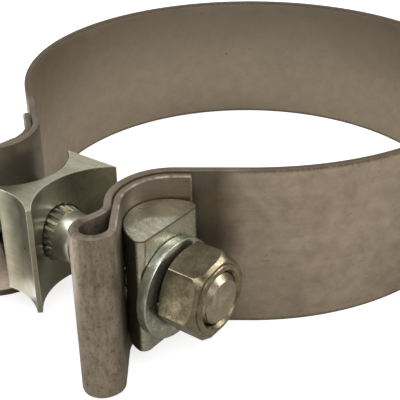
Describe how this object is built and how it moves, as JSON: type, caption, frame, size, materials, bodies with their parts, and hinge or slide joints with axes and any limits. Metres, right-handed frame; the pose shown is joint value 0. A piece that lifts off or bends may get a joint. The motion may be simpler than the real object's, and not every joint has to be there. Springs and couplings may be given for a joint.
{
  "type": "pipe band clamp",
  "caption": "Open flat band clamp for an exhaust or pipe lap joint: strap ring with looped lugs, half-round bars, hollow spacer block, bolt, washer and nut.",
  "frame": {"origin": "centre of the bounding box's underside, so the clamp stands on the band's lower edge", "axes": "+X from the ring's centre to the lugs, +Y along the bolt from its head to the nut, +Z along the pipe's axis"},
  "size_m": [0.1249, 0.0984, 0.0318],
  "materials": {
    "band_steel": "bare mill-finish steel strip, dull and finely speckled",
    "zinc": "zinc plated steel, satin with fine scratches",
    "nut_zinc": "zinc plated steel with an olive passivation, semi-gloss"
  },
  "bodies": {
    "root": {"band": "band_steel", "head_side_bar": "zinc", "bolt": "zinc"},
    "block": {"spacer_block": "zinc"},
    "nut_side": {"nut_side_bar": "zinc", "washer": "zinc"},
    "nut": {"nut": "nut_zinc"}
  },
  "joints": [
    {"name": "nut_turn", "type": "hinge", "parent": "nut_side", "child": "nut", "pos_m": [0.04512, 0.02871, 0.01588], "axis": [0, 1, 0], "range_deg": [-4626.1, 0]},
    {"name": "nut_side_slide", "type": "slide", "parent": "root", "child": "nut_side", "axis": [0, 1, 0], "range_m": [-0.0204, 0], "deforming": ["band"]},
    {"name": "block_slide", "type": "slide", "parent": "root", "child": "block", "axis": [0, 1, 0], "range_m": [-0.0051, 0]}
  ],
  "couplings": [
    {"joint": "nut_side_slide", "follows": "nut_turn", "m_per_rad": 0.00025266},
    {"joint": "block_slide", "follows": "nut_turn", "m_per_rad": 0.000063165}
  ]
}
